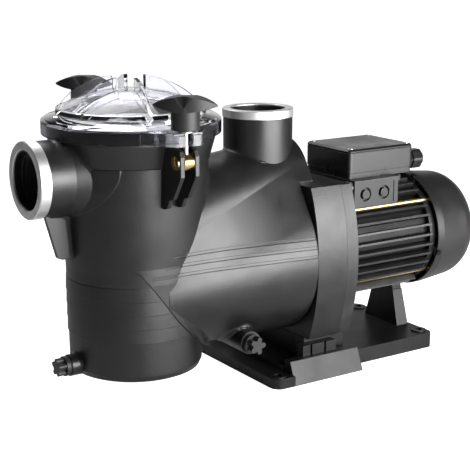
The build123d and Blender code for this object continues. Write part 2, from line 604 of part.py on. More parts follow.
def shaft():
    return lathe_x([
        (150, 0), (150, 5), (158, 5), (158, 7), (177, 7), (177, 9), (222, 9), (222, SHAFT_R + 1.5),
        (FRONT_BEARING_X, SHAFT_R + 1.5), (FRONT_BEARING_X, SHAFT_R),
        (FRONT_BEARING_X + BEARING_W, SHAFT_R), (FRONT_BEARING_X + BEARING_W, SHAFT_R + 1.5),
        (REAR_BEARING_X, SHAFT_R + 1.5), (REAR_BEARING_X, SHAFT_R), (REAR_BEARING_X + BEARING_W, SHAFT_R),
        (REAR_BEARING_X + BEARING_W, 7), (430, 7), (430, 0)])


def bearing(x0):
    """Outer ring, ball set and inner ring of a deep-groove bearing, with running clearance."""
    mid, ball, pitch = x0 + BEARING_W / 2, 3.2, (BEARING_R + BEARING_BORE) / 2
    groove = torus_x(pitch, ball + 0.08, mid)
    outer = tube_x(x0, x0 + BEARING_W, BEARING_R - 3.4, BEARING_R) - groove
    inner = tube_x(x0, x0 + BEARING_W, BEARING_BORE, BEARING_BORE + 3.4) - groove
    balls = [Pos(mid, pitch * cos(2 * pi * i / 8), SHAFT_Z + pitch * sin(2 * pi * i / 8)) * Sphere(ball)
             for i in range(8)]
    return outer, join(balls), inner


def rear_shield():
    x0 = MOTOR_X1
    shield = rod_x(x0, x0 + 6, TUBE_R + 2) + tube_x(REAR_BEARING_X, x0, BEARING_R, BEARING_R + 5)
    shield += rod_x(x0 + 6, x0 + 9, BEARING_R + 5)
    for i in range(4):
        lug = Pos(x0 + 3, 0, SHAFT_Z) * Rot(SCREW_TURN + 90 * i, 0, 0) * Pos(0, 0, TUBE_R + 4) * Box(6, 12, 12)
        shield += lug
    shield -= rod_x(REAR_BEARING_X - 1, REAR_BEARING_X + BEARING_W, BEARING_R)
    shield -= rod_x(x0 - 1, x0 + 20, 11)
    return shield - tie_rod_holes(x0 - 1, x0 + 20) - cover_screw_set(1.9, 0)


def cover_screw_set(r, head_r):
    """Four radial screws through the fan cover's rim, or the holes for them when head_r is 0."""
    screws = []
    tip, seat = TUBE_R + 2, COVER_R0 - 0.4
    for i in range(4):
        screw = rod_z(tip, seat, r, MOTOR_X1 + 3)
        if head_r:
            screw += rod_z(seat, seat + 1.8, head_r, MOTOR_X1 + 3)
        screws.append(Pos(0, 0, SHAFT_Z) * Rot(SCREW_TURN + 90 * i, 0, 0) * screw)
    return join(screws)


def tie_rods():
    rods = []
    for y in (-ROD_Y, ROD_Y):
        for up in (-ROD_Z, ROD_Z):
            z = SHAFT_Z + up
            rods.append(rod_x(FLANGE_X1 + 3, MOTOR_X1 + 6, ROD_R, y, z)
                        + hex_x(MOTOR_X1 + 6, MOTOR_X1 + 11, 10, y, z))
    return join(rods)


def fan():
    hub = lathe_x([(402, 7), (402, 14), (406, 16), (408, 52), (410.5, 52), (410, 16), (424, 13), (424, 7)])
    for i in range(7):
        blade = Pos(417, 0, SHAFT_Z) * Rot(360 / 7 * i, 0, 0) * Pos(0, 0, 33) * Box(14.5, 2.2, 40)
        hub += blade
    return hub - rod_x(395, 435, 7)


def cover_solid(cut):
    """Outside of the fan cover, or with cut, its inside."""
    x0, end = MOTOR_X1, COVER_X1 - cut
    front, middle = COVER_R0 - cut, COVER_R1 - cut
    edges = [
        Line((x0, 0), (x0, front)),
        Line((x0, front), (x0 + 10, front)),
        Line((x0 + 10, front), (436, middle)),
        ThreePointArc((436, middle), ((436 + end) / 2 + 4.5, middle - 8), (end, COVER_END_R)),
        Line((end, COVER_END_R), (end, 0)),
        Line((end, 0), (x0, 0)),
    ]
    return Pos(0, 0, SHAFT_Z) * revolve(Plane.XZ * make_face(edges), Axis.X)


def fan_cover():
    wall = 2.0
    cover = cover_solid(0) - cover_solid(wall) - rod_x(MOTOR_X1 - 1, MOTOR_X1 + 8, COVER_R0 - wall)
    spokes = Pos(COVER_X1, 0, SHAFT_Z) * (Box(12, 5, 200) + Box(12, 200, 5))
    for r in (16, 25, 34, 43):
        cover -= tube_x(COVER_X1 - 4, COVER_X1 + 2, r, r + 4.5) - spokes
    return cover - cover_screw_set(1.9, 3.6)


# ---- terminal box -------------------------------------------------------------------------
def rounded_box(x0, x1, half, z0, z1, r):
    plan = Pos((x0 + x1) / 2, 0) * RectangleRounded(x1 - x0, 2 * half, r)
    return extrude(Plane.XY.offset(z0) * plan, z1 - z0)


def terminal_box():
    """Box body: a narrower foot, a slight ledge, then the walls."""
    box = rounded_box(BOX_X0, BOX_X1, BOX_HALF, BLOCK_TOP, BOX_STEP, 4)
    box += rounded_box(BOX_X0 - 1, BOX_X1 + 1, BOX_HALF + 1, BOX_STEP, BOX_SPLIT, 5)
    box -= rounded_box(BOX_X0 + 3, BOX_X1 - 3, BOX_HALF - 3, BLOCK_TOP + 3, BOX_SPLIT + 1, 3)
    for x, y in lid_screw_places():
        box += rod_z(BLOCK_TOP + 3, BOX_SPLIT, 4.5, x, y)
    box -= rod_x(BOX_X1 - 8, BOX_X1 + 8, GLAND_R, GLAND_Y, GLAND_Z)
    return box - wire_hole() - lid_screw_set(BOX_SPLIT - 8, 1.7, 0)


def lid_screw_places():
    middle, dx, dy = (BOX_X0 + BOX_X1) / 2, (BOX_X1 - BOX_X0) / 2 - 5.5, BOX_HALF - 5.5
    return [(middle + i * dx, j * dy) for i in (-1, 1) for j in (-1, 1)]


def lid_screw_set(low, r, head_r):
    screws = []
    for x, y in lid_screw_places():
        screw = rod_z(low, BOX_TOP - 1.6, r, x, y)
        if head_r:
            screw += rod_z(BOX_TOP - 1.6, BOX_TOP + 0.5, head_r, x, y)
            screw -= Pos(x, y, BOX_TOP + 0.5) * Rot(0, 0, 30) * Box(2 * head_r, 1.0, 1.6)
        screws.append(screw)
    return join(screws)


def terminal_gasket():
    ring = rounded_box(BOX_X0, BOX_X1, BOX_HALF, BOX_SPLIT, BOX_SPLIT + 1, 4)
    ring -= rounded_box(BOX_X0 + 3, BOX_X1 - 3, BOX_HALF - 3, BOX_SPLIT - 1, BOX_SPLIT + 2, 3)
    return ring - lid_screw_set(BOX_SPLIT - 8, 1.7, 0)


def terminal_lid():
    cover = rounded_box(BOX_X0 - 1, BOX_X1 + 1, BOX_HALF + 1, BOX_SPLIT + 1, BOX_TOP, 5)
    cover = chamfer(cover.faces().sort_by(Axis.Z)[-1].edges(), 2.2)
    for x, y in lid_screw_places():
        cover -= rod_z(BOX_TOP - 1.6, BOX_TOP + 1, 3.4, x, y)
    return cover - lid_screw_set(BOX_SPLIT - 8, 1.7, 0)


def terminal_board():
    board = block(280, 312, -30, -10, BLOCK_TOP + 3, BLOCK_TOP + 9)
    for y in (-25, -15):
        for x in (286, 296, 306):
            board += rod_z(BLOCK_TOP + 9, BLOCK_TOP + 15, 2.5, x, y)
    return board


def capacitor():
    return rod_x(280, 324, 11.0, 22, BLOCK_TOP + 3 + 11.0)


def gland_body():
    x = BOX_X1 + 1
    body = hex_x(x, x + 5, 20, GLAND_Y, GLAND_Z) + rod_x(x - 9, x + 16, GLAND_R, GLAND_Y, GLAND_Z)
    return body - rod_x(x - 10, x + 20, CABLE_R, GLAND_Y, GLAND_Z)


def gland_nut():
    x = BOX_X1 + 6.3
    nut = hex_x(x, x + 14, 23, GLAND_Y, GLAND_Z) & rod_x(x, x + 14, 12.4, GLAND_Y, GLAND_Z)
    nut += rod_x(x + 14, x + 17, 9.4, GLAND_Y, GLAND_Z)
    nut -= rod_x(x - 1, x + 11.5, GLAND_R, GLAND_Y, GLAND_Z)
    return nut - rod_x(x, x + 20, CABLE_R, GLAND_Y, GLAND_Z)


# ---- base ---------------------------------------------------------------------------------
def base():
    plate = base_plate() + cradle() + pedestal()
    for x, y, top in ((HOLE_FRONT_X, HOLE_FRONT_Y, BASE_LOW), (HOLE_REAR_X, HOLE_REAR_Y, BASE_HIGH)):
        for side in (-1, 1):
            plate += rod_z(0, top + BOSS_HIGH, 9.5, x, side * y)
            plate -= rod_z(-1, top + 3, HOLE_R, x, side * y)
    return plate


def base_plate():
    """Stepped plate, hollow and ribbed underneath, with a sloping skirt along each side."""
    wide = rounded_box(BASE_X0, BASE_STEP_X, BASE_WIDE, 0, BASE_LOW, 12)
    plate = wide + rounded_box(BASE_X0 + 25, BASE_X1, BASE_NARROW, 0, BASE_HIGH, 10)
    for put in (lambda shape: shape, mirror_y):
        plate = plate - put(skirt_cut()) + put(skirt())
    plate -= block(BASE_X0 + 5, BASE_STEP_X - 5, -BASE_WIDE + 14, BASE_WIDE - 14, -1, BASE_LOW - 4)
    plate -= block(BASE_STEP_X + 4, BASE_X1 - 5, -BASE_NARROW + 5, BASE_NARROW - 5, -1, BASE_HIGH - 4)
    for x in (BASE_STEP_X + 30, BASE_STEP_X + 80):
        plate += block(x - 1.5, x + 1.5, -BASE_NARROW + 4, BASE_NARROW - 4, 0, BASE_HIGH - 3)
    return plate + block(BASE_X0 + 4, BASE_X1 - 4, -1.5, 1.5, 0, BASE_LOW - 3)


def skirt():
    top = SKIRT_LEAN - BASE_WIDE
    inner = 2 - BASE_NARROW
    return plate_x(SKIRT_X0, BASE_STEP_X, [(-BASE_WIDE, 0), (top, SKIRT_TOP), (inner, SKIRT_TOP), (inner, 0)])


def skirt_cut():
    """What is taken off the plate's edge in front of the skirt's slope."""
    return plate_x(SKIRT_X0, BASE_STEP_X + 1, [(-BASE_WIDE, 0), (SKIRT_LEAN - BASE_WIDE, SKIRT_TOP),
                                               (-BASE_WIDE - 1, SKIRT_TOP), (-BASE_WIDE - 1, 0)])


def cradle():
    """Saddle under the flange, and two slotted clips beside it."""
    saddle = block(CRADLE_X0, CRADLE_X1, -CRADLE_HALF, CRADLE_HALF, BASE_LOW - 3, FLANGE_BASE)
    saddle -= block(CRADLE_X0 + 6, CRADLE_X1 - 6, -CRADLE_HALF + 6, CRADLE_HALF - 6, 0, FLANGE_BASE - 7)
    clip = block(CLIP_X0, CLIP_X1, -CLIP_Y, 1 - CRADLE_HALF, BASE_LOW - 1, CLIP_TOP)
    for x in (CLIP_X0 + 12, CLIP_X0 + 32):
        clip -= block(x - 1.4, x + 1.4, -CLIP_Y - 1, -CLIP_Y + 3, BASE_HIGH, CLIP_TOP + 1)
    return saddle + clip + mirror_y(clip)


def pedestal():
    """Flared hollow foot under the motor."""
    middle, wide = (PEDESTAL_X0 + PEDESTAL_X1) / 2, PEDESTAL_X1 - PEDESTAL_X0
    top = SHAFT_Z - FIN_R - 1 - PAD
    low_face = Plane.XY.offset(BASE_HIGH - 2) * Pos(middle, 0) * Rectangle(wide, 2 * PEDESTAL_LOW_HALF)
    top_face = Plane.XY.offset(top) * Pos(middle, 0) * Rectangle(wide - 3, 2 * PEDESTAL_TOP_HALF)
    hollow = block(PEDESTAL_X0 + 5, PEDESTAL_X1 - 5, 5 - PEDESTAL_TOP_HALF, PEDESTAL_TOP_HALF - 5, 0, top - 6)
    return loft([low_face, top_face]) - hollow


def motor_foot_pad():
    """Rubber saddle between the motor's foot and the pedestal."""
    z = SHAFT_Z - FIN_R - 1
    return block(PEDESTAL_X0 + 2, PEDESTAL_X1 - 2, -19, 19, z - PAD, z)


# ---- build and save -----------------------------------------------------------------------
def rear(shape):
    """The same part at the back of the strainer, turned half a turn about its axis."""
    return Rot(0, 0, 180) * shape


def main():
    save("pump_body", pump_body())
    save("suction_ring", Pos(SUCTION_X, 0, SUCTION_Z) * Rot(0, -90, 0) * port_ring(RING_LEN))
    save("discharge_ring", Pos(DISCHARGE_X, 0, DISCHARGE_Z) * port_ring(RING_LEN_UP))
    save("lid", lid())
    save("lid_oring", torus_z(85, 2.2, 302.6))
    save("strainer_basket", basket())
    save("basket_handle", basket_handle())
    for place, put in (("front", lambda s: s), ("rear", rear)):
        save(f"swing_bolt_{place}", put(swing_bolt()))
        save(f"pivot_pin_{place}", put(pivot_pin()))
        save(f"knob_{place}", put(knob()))
        save(f"knob_insert_{place}", put(knob_insert()))
        save(f"knob_washer_{place}", put(knob_washer()))
    pot_plug_at = Pos(-86, 0, POT_PLUG_Z) * Rot(0, -90, 0)
    volute_plug_at = Pos(VOLUTE_PLUG_X, VOLUTE_PLUG_Y - 2, VOLUTE_PLUG_Z) * Rot(90, 0, 0)
    save("pot_drain_plug", pot_plug_at * drain_plug())
    save("pot_drain_seal", pot_plug_at * drain_seal())
    save("volute_drain_plug", volute_plug_at * drain_plug())
    save("volute_drain_seal", volute_plug_at * drain_seal())
    save("diffuser", diffuser())
    save("diffuser_oring", torus_x(31.6, 1.6, 106) - rod_x(100, 112, 29.9))
    save("impeller", impeller())
    save("impeller_nut", hex_x(152, 158, 13, 0, SHAFT_Z) - rod_x(150, 160, 5))
    save("seal_seat", tube_x(SEAL_X, SEAL_X + 6, 9.4, SEAT_R))
    save("seal_rotary", tube_x(177.0, SEAL_X - 0.05, 9.0, 15.0))
    save("seal_plate", seal_plate())
    save("housing_oring", torus_x(PLATE_R - 1.5, 1.5, 192))
    save("flange_bolts", flange_bolts())
    save("motor_bracket", motor_bracket())
    save("water_slinger", lathe_x([(212, 9), (212, 12), (216, 16), (218, 16), (218, 9)]))
    save("shaft", shaft())
    save("rotor_core", rotor_core())
    for place, x0 in (("front", FRONT_BEARING_X), ("rear", REAR_BEARING_X)):
        outer, balls, inner = bearing(x0)
        save(f"{place}_bearing_outer", outer)
        save(f"{place}_bearing_balls", balls)
        save(f"{place}_bearing_inner", inner)
    save("stator_core", stator_core())
    save("windings", windings())
    save("motor_housing", motor_housing())
    save("knockout_plugs", knockout_plugs())
    save("rear_shield", rear_shield())
    save("tie_rods", tie_rods())
    save("fan", fan())
    save("fan_cover", fan_cover())
    save("fan_cover_screws", cover_screw_set(1.9, 3.6))
    save("terminal_box", terminal_box())
    save("terminal_gasket", terminal_gasket())
    save("terminal_lid", terminal_lid())
    save("lid_screws", lid_screw_set(BOX_SPLIT - 7, 1.6, 3.2))
    save("terminal_board", terminal_board())
    save("capacitor", capacitor())
    save("gland_body", gland_body())
    save("gland_nut", gland_nut())
    save("base", base())
    save("motor_foot_pad", motor_foot_pad())


main()
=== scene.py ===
"""Looks for the pool pump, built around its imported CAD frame. Metres, +Z up, +X towards the motor."""
import json
import math

import bpy
import numpy as np
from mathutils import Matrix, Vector


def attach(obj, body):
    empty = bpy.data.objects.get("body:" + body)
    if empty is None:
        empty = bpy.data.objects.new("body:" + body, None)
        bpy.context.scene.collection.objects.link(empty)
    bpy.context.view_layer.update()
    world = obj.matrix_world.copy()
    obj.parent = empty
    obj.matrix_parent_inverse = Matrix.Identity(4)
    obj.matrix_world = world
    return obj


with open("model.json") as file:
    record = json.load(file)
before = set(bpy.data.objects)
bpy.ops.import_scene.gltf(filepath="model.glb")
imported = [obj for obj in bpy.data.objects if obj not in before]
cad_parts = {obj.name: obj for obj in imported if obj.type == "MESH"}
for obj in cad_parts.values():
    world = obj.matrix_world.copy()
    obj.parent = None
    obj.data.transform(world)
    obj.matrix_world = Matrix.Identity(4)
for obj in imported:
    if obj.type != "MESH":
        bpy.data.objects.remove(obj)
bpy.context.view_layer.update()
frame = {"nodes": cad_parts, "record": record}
NODES = frame["nodes"]
MOUNTS = {mount["name"]: mount for mount in frame["record"]["mounts"]}
JOINTS = {joint["name"]: joint for joint in frame["record"]["behaviour"]["joints"]}
MM = 0.001
SHAFT_Z = JOINTS["rotor_spin"]["pos_m"][2]
POT_X = JOINTS["swing_front"]["pos_m"][0]           # axis of the strainer pot
SUCTION_Z = MOUNTS["suction_port"]["pos_m"][2]
DISCHARGE_X = MOUNTS["discharge_port"]["pos_m"][0]
GAP_FLOOR_R, GAP_TOP_R = 0.0615, 0.0695             # between these radii the painted shade in the motor's fin gaps fades out
LID_PAINTED_SHADE_Z, LID_CLEAR_Z = 0.3065, 0.3095           # between these heights the painted shade on the lid's skirt fades to clear


# ---- material helpers ---------------------------------------------------------------------
def node(tree, kind, inputs=None, **settings):
    """A new shader node. An input is a value, or another node's output to link from."""
    made = tree.nodes.new("ShaderNode" + kind)
    for name, value in settings.items():
        setattr(made, name, value)
    for name, value in (inputs or {}).items():
        if isinstance(value, bpy.types.NodeSocket):
            tree.links.new(value, made.inputs[name])
        else:
            made.inputs[name].default_value = value
    return made


def start_material(name):
    material = bpy.data.materials.new(name)
    material.use_nodes = True
    tree = material.node_tree
    return material, tree, tree.nodes["Principled BSDF"]


def object_coords(tree):
    return node(tree, "TexCoord").outputs["Object"]


def noise(tree, size, detail=2.0, stretch=(1, 1, 1), rough=0.5):
    """Noise whose features are about size metres across."""
    mapped = node(tree, "Mapping", {"Vector": object_coords(tree), "Scale": stretch})
    inputs = {"Vector": mapped.outputs[0], "Scale": 1 / size, "Detail": detail, "Roughness": rough}
    return node(tree, "TexNoise", inputs).outputs["Fac"]


def ramp(tree, fac, low, high, a=0.0, b=1.0):
    """Value a below low, value b above high, and a straight line between."""
    inputs = {"Value": fac, "From Min": low, "From Max": high, "To Min": a, "To Max": b}
    return node(tree, "MapRange", inputs).outputs[0]


def mix_color(tree, fac, a, b):
    mixer = node(tree, "Mix", {"Factor": fac}, data_type="RGBA")
    for socket, value in ((6, a), (7, b)):
        if isinstance(value, bpy.types.NodeSocket):
            tree.links.new(value, mixer.inputs[socket])
        else:
            mixer.inputs[socket].default_value = (*value, 1)
    return mixer.outputs[2]


def shaft_distance(tree):
    """Distance from the motor's shaft."""
    across = node(tree, "VectorMath", {0: object_coords(tree), 1: (0, 0, -SHAFT_Z)}, operation="ADD")
    flat = node(tree, "VectorMath", {0: across.outputs[0], 1: (0, 1, 1)}, operation="MULTIPLY")
    return node(tree, "VectorMath", {0: flat.outputs[0]}, operation="LENGTH").outputs["Value"]


def edge_wear(tree, radius):
    """1 on convex edges and 0 elsewhere, from the angle between the true and the rounded normal."""
    bevel = node(tree, "Bevel", {"Radius": radius}, samples=4)
    geometry = node(tree, "NewGeometry")
    dot = node(tree, "VectorMath", operation="DOT_PRODUCT")
    tree.links.new(bevel.outputs[0], dot.inputs[0])
    tree.links.new(geometry.outputs["Normal"], dot.inputs[1])
    return ramp(tree, dot.outputs["Value"], 0.995, 0.86)


def finish_surface(tree, shader, height, depth, edge_radius):
    """Bump from height over normals that are rounded at hard edges."""
    rounded = node(tree, "Bevel", {"Radius": edge_radius}, samples=4)
    bump = node(tree, "Bump", {"Height": height, "Distance": depth, "Strength": 1.0,
                               "Normal": rounded.outputs[0]})
    tree.links.new(bump.outputs[0], shader.inputs["Normal"])


def connect(tree, shader, **values):
    names = {"color": "Base Color", "rough": "Roughness", "metal": "Metallic"}
    for key, value in values.items():
        socket = shader.inputs[names[key]]
        if isinstance(value, bpy.types.NodeSocket):
            tree.links.new(value, socket)
        elif key == "color":
            socket.default_value = (*value, 1)
        else:
            socket.default_value = value


# ---- materials ----------------------------------------------------------------------------
def moulded(name, color, rough, grain, depth, mottling=0.25, spec=0.5):
    """Moulded plastic: sandblasted grain, cloudy shade changes, paler rubbed edges."""
    material, tree, shader = start_material(name)
    fine = noise(tree, grain, 3.0)
    cloud = noise(tree, 0.03, 3.0)
    darker = [c * (1 - mottling) for c in color]
    lighter = [c * (1 + mottling) for c in color]
    base = mix_color(tree, ramp(tree, cloud, 0.3, 0.7), darker, lighter)
    speck = mix_color(tree, ramp(tree, fine, 0.58, 0.75, 0, 0.35), base, [c * 2.0 for c in color])
    worn = mix_color(tree, node(tree, "Math", {0: edge_wear(tree, 0.0008), 1: 0.4},
                                operation="MULTIPLY").outputs[0], speck, [c * 2.4 for c in color])
    connect(tree, shader, color=worn, rough=ramp(tree, cloud, 0.25, 0.75, rough - 0.06, rough + 0.06))
    shader.inputs["Specular IOR Level"].default_value = spec
    finish_surface(tree, shader, fine, depth, 0.0009)
    return material


def metal(name, color, rough, stretch, grain=0.0006, depth=0.00002):
    """Turned or drawn metal: fine lines along one direction, with faint stains."""
    material, tree, shader = start_material(name)
    lines = noise(tree, grain, 2.0, stretch)
    stain = noise(tree, 0.012, 3.0)
    tone = mix_color(tree, ramp(tree, stain, 0.35, 0.7), [c * 0.86 for c in color], color)
    uneven = ramp(tree, lines, 0.3, 0.7, rough - 0.07, rough + 0.09)
    connect(tree, shader, color=tone, metal=1.0, rough=uneven)
    finish_surface(tree, shader, lines, depth, 0.0004)
    return material


def painted_cast(name, color):
    """Cast aluminium under black paint: slight orange peel and worn fin edges. The gaps between the fins,
    close to the motor's tube, get painted shade: near-black colour and less specular."""
    material, tree, shader = start_material(name)
    # painted shade: near the tube the fin gaps are coloured nearly black and made less specular, in place
    # of their shade
    clear_of_gap_shade = ramp(tree, shaft_distance(tree), GAP_FLOOR_R, GAP_TOP_R)
    tree.links.new(ramp(tree, clear_of_gap_shade, 0, 1, 0.2, 0.5), shader.inputs["Specular IOR Level"])
    peel = noise(tree, 0.0012, 2.0)
    dust = noise(tree, 0.02, 4.0)
    base = mix_color(tree, ramp(tree, dust, 0.45, 0.75), color, [c * 1.7 for c in color])
    worn = mix_color(tree, node(tree, "Math", {0: edge_wear(tree, 0.0006), 1: 0.25},
                                operation="MULTIPLY").outputs[0], base, (0.2, 0.2, 0.2))
    # the near-black colour here is the painted shade in the fin gaps
    shaded = mix_color(tree, clear_of_gap_shade, (0.002, 0.002, 0.002), worn)
    connect(tree, shader, color=shaded, rough=ramp(tree, dust, 0.3, 0.7, 0.33, 0.46))
    finish_surface(tree, shader, peel, 0.00008, 0.0006)
    return material


def clear_plastic(name):
    """Clear polycarbonate, very slightly violet, with faint moulding flow in its surface. Its skirt gets
    painted shade, a dark grey colour. Light passes straight through to what is inside."""
    material, tree, shader = start_material(name)
    flow = noise(tree, 0.02, 1.0)
    height = node(tree, "SeparateXYZ", {0: object_coords(tree)}).outputs["Z"]
    clear = mix_color(tree, flow, (0.93, 0.93, 0.985), (0.97, 0.97, 1.0))
    # painted shade: below these heights the lid's skirt is coloured dark grey, in place of the shade seen
    # through it
    lid_colour_with_skirt_shade = mix_color(tree, ramp(tree, height, LID_PAINTED_SHADE_Z, LID_CLEAR_Z), (0.16, 0.16, 0.18), clear)
    connect(tree, shader, color=lid_colour_with_skirt_shade, rough=ramp(tree, flow, 0.3, 0.7, 0.0, 0.04))
    shader.inputs["Transmission Weight"].default_value = 1.0
    shader.inputs["IOR"].default_value = 1.45
    finish_surface(tree, shader, flow, 0.0002, 0.0006)
    through = node(tree, "BsdfTransparent", {"Color": (0.9, 0.9, 0.92, 1)})
    shadow = node(tree, "LightPath").outputs["Is Shadow Ray"]
    both = node(tree, "MixShader", {0: shadow, 1: shader.outputs[0], 2: through.outputs[0]})
    tree.links.new(both.outputs[0], tree.nodes["Material Output"].inputs["Surface"])
    return material


def laminated(name, color, pitch):
    """Stacked steel sheets: thin dark lines across the shaft."""
    material, tree, shader = start_material(name)
    wave = node(tree, "TexWave", {"Vector": object_coords(tree), "Scale": 1 / pitch / 3.14,
                                  "Distortion": 0.3}, bands_direction="X")
    rust = noise(tree, 0.01, 4.0)
    tone = mix_color(tree, ramp(tree, rust, 0.5, 0.8, 0, 0.4), color, (0.25, 0.15, 0.09))
    lined = mix_color(tree, wave.outputs["Fac"], [c * 0.4 for c in color], tone)
    connect(tree, shader, color=lined, metal=0.8, rough=0.5)
    finish_surface(tree, shader, wave.outputs["Fac"], 0.0001, 0.0004)
    return material


MATERIALS = {
    "body_plastic": moulded("body_plastic", (0.008, 0.008, 0.0083), 0.35, 0.0011, 0.00016),
    "base_plastic": moulded("base_plastic", (0.008, 0.008, 0.0083), 0.38, 0.0012, 0.00014, 0.25, 0.3),
    "box_plastic": moulded("box_plastic", (0.010, 0.010, 0.0108), 0.30, 0.0006, 0.00004, 0.15),
    "cover_plastic": moulded("cover_plastic", (0.012, 0.0115, 0.012), 0.40, 0.0007, 0.00004, 0.15),
    "inner_plastic": moulded("inner_plastic", (0.06, 0.06, 0.062), 0.45, 0.001, 0.00006),
    "basket_plastic": moulded("basket_plastic", (0.62, 0.64, 0.66), 0.4, 0.001, 0.00005, 0.05),
    "knob_plastic": moulded("knob_plastic", (0.016, 0.016, 0.0165), 0.46, 0.0009, 0.0001, 0.25, 0.4),
    "rubber": moulded("rubber", (0.02, 0.02, 0.02), 0.65, 0.0005, 0.00005, 0.3, 0.3),
    "carbon": moulded("carbon", (0.045, 0.045, 0.045), 0.5, 0.0008, 0.00004),
    "ceramic": moulded("ceramic", (0.8, 0.79, 0.76), 0.25, 0.0008, 0.00002, 0.04),
    "clear_lid": clear_plastic("clear_lid"),
    "ring_metal": metal("ring_metal", (0.88, 0.88, 0.88), 0.46, (1, 1, 12)),
    "stainless": metal("stainless", (0.66, 0.66, 0.67), 0.24, (1, 1, 10)),
    "bearing_steel": metal("bearing_steel", (0.62, 0.62, 0.64), 0.15, (8, 1, 1)),
    "brass": metal("brass", (0.72, 0.5, 0.2), 0.22, (10, 1, 1)),
    "blackened_steel": metal("blackened_steel", (0.03, 0.03, 0.03), 0.35, (1, 1, 10)),
    "yellow_zinc": metal("yellow_zinc", (0.78, 0.62, 0.30), 0.36, (1, 6, 6)),
    "copper": metal("copper", (0.6, 0.28, 0.13), 0.35, (1, 8, 8), 0.0012, 0.0002),
    "capacitor_can": metal("capacitor_can", (0.7, 0.71, 0.73), 0.3, (10, 1, 1)),
    "motor_paint": painted_cast("motor_paint", (0.012, 0.012, 0.0125)),
    "electrical_steel": laminated("electrical_steel", (0.34, 0.35, 0.36), 0.0006),
}


def paint(obj, slot):
    obj.data.materials.clear()
    obj.data.materials.append(MATERIALS[slot])
    return obj


def paint_cad_nodes():
    for entry in frame["record"]["subparts"]:
        paint(NODES[entry["node"]], entry["material_slot"])


paint_cad_nodes()


# ---- added pieces -------------------------------------------------------------------------
def new_piece(name, verts, faces, body, slot, smooth=True):
    mesh = bpy.data.meshes.new(name)
    mesh.from_pydata(verts, [], faces)
    mesh.update()
    obj = bpy.data.objects.new(name, mesh)
    bpy.context.scene.collection.objects.link(obj)
    if smooth:
        mesh.shade_smooth()
    paint(obj, slot)
    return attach(obj, body)


def helix_verts(start, along, radius, pitch, turns, profile, steps=64):
    """Points of a thread ridge. start is on the axis, along is the axis, and profile holds
    (radius offset, axial offset) corners in metres."""
    axis = Vector(along).normalized()
    side = axis.orthogonal().normalized()
    across = axis.cross(side)
    verts = []
    for i in range(int(turns * steps) + 1):
        angle = 2 * math.pi * i / steps
        outward = side * math.cos(angle) + across * math.sin(angle)
        for dr, da in profile:
            verts.append(Vector(start) + axis * (pitch * i / steps + da) + outward * (radius + dr))
    return verts


def thread(name, start, along, radius, pitch, turns):
    """A closed helical ridge, standing inwards from the wall of a threaded bore."""
    profile = [(0.0004, -0.0009), (-0.0011, -0.0001), (-0.0011, 0.0001), (0.0004, 0.0009)]
    verts = helix_verts(start, along, radius, pitch, turns, profile)
    corners = len(profile)
    rings = len(verts) // corners
    faces = []
    for i in range(rings - 1):
        for j in range(corners):
            k = (j + 1) % corners
            faces.append((i * corners + j, i * corners + k, (i + 1) * corners + k, (i + 1) * corners + j))
    faces.append(tuple(reversed(range(corners))))
    faces.append(tuple((rings - 1) * corners + j for j in range(corners)))
    return new_piece(name, verts, faces, "pump", "body_plastic", smooth=False)


def port_threads():
    """Pipe threads in both ports: 11 to the inch, inside the plain bores of the CAD body."""
    pitch, turns = 25.4 * MM / 11, 10.5
    for port in ("suction", "discharge"):
        mount = MOUNTS[port + "_port"]
        out = Vector(mount["axis"])
        start = Vector(mount["pos_m"]) - out * (pitch * turns / 2)
        thread(port + "_thread", start, out, mount["dims"]["r_mm"] * MM, pitch, turns)


port_threads()


def lathe(name, profile, centre, body, slot, steps=72):
    """A closed ring about X at centre, from (axial offset, radius) corners in metres."""
    verts = []
    for i in range(steps):
        angle = 2 * math.pi * i / steps
        for along, radius in profile:
            verts.append((centre[0] + along, centre[1] + radius * math.cos(angle),
                          centre[2] + radius * math.sin(angle)))
    corners = len(profile)
    faces = []
    for i in range(steps):
        here, after = i * corners, (i + 1) % steps * corners
        for j in range(corners):
            k = (j + 1) % corners
            faces.append((here + j, here + k, after + k, after + j))
    return new_piece(name, verts, faces, body, slot)


def bolt_barrels():
    """Brass barrel round each swing bolt's eye."""
    half, inner, outer, edge = 0.0062, 0.0078, 0.0086, 0.0008
    profile = [(-half, inner), (half, inner), (half, outer - edge), (half - edge / 3, outer - edge / 3),
               (half - edge, outer), (edge - half, outer), (edge / 3 - half, outer - edge / 3),
               (-half, outer - edge)]
    for place in ("front", "rear"):
        lathe("barrel_" + place, profile, JOINTS["swing_" + place]["pos_m"], "swing_bolt_" + place, "brass")


bolt_barrels()


# ---- soft fillets on the pump body ----------------------------------------------------------
# the volute's section at each end: lower radius, its height, upper radius, its height
VOLUTE_START = np.array((0.0768, 0.122, 0.074, 0.171))
VOLUTE_END = np.array((0.0948, 0.1365, 0.052, 0.217))
VOLUTE_LENGTH = 0.184
POT_INSIDE_R, PORT_INSIDE_R = 0.0715, 0.0385
# the fillets fade out over these spans
FLANGE_X, SUCTION_RING_X, LID_SEAT_Z = (-0.078, -0.072), (-0.366, -0.360), (0.282, 0.288)
VOXEL, SUNK, SKIN = 0.0018, 0.0003, 0.0012
LEAST_FILL = 0.00008


def remeshed(source, voxel):
    """Even, closed copy of a mesh."""
    obj = bpy.data.objects.new("even", source.data.copy())
    bpy.context.scene.collection.objects.link(obj)
    modifier = obj.modifiers.new("even", "REMESH")
    modifier.mode, modifier.voxel_size = "VOXEL", voxel
    mesh = bpy.data.meshes.new_from_object(obj.evaluated_get(bpy.context.evaluated_depsgraph_get()))
    bpy.data.objects.remove(obj)
    return mesh


def read(collection, key, kind, columns):
    values = np.empty(len(collection) * columns, kind)
    collection.foreach_get(key, values)
    return values.reshape(-1, columns)


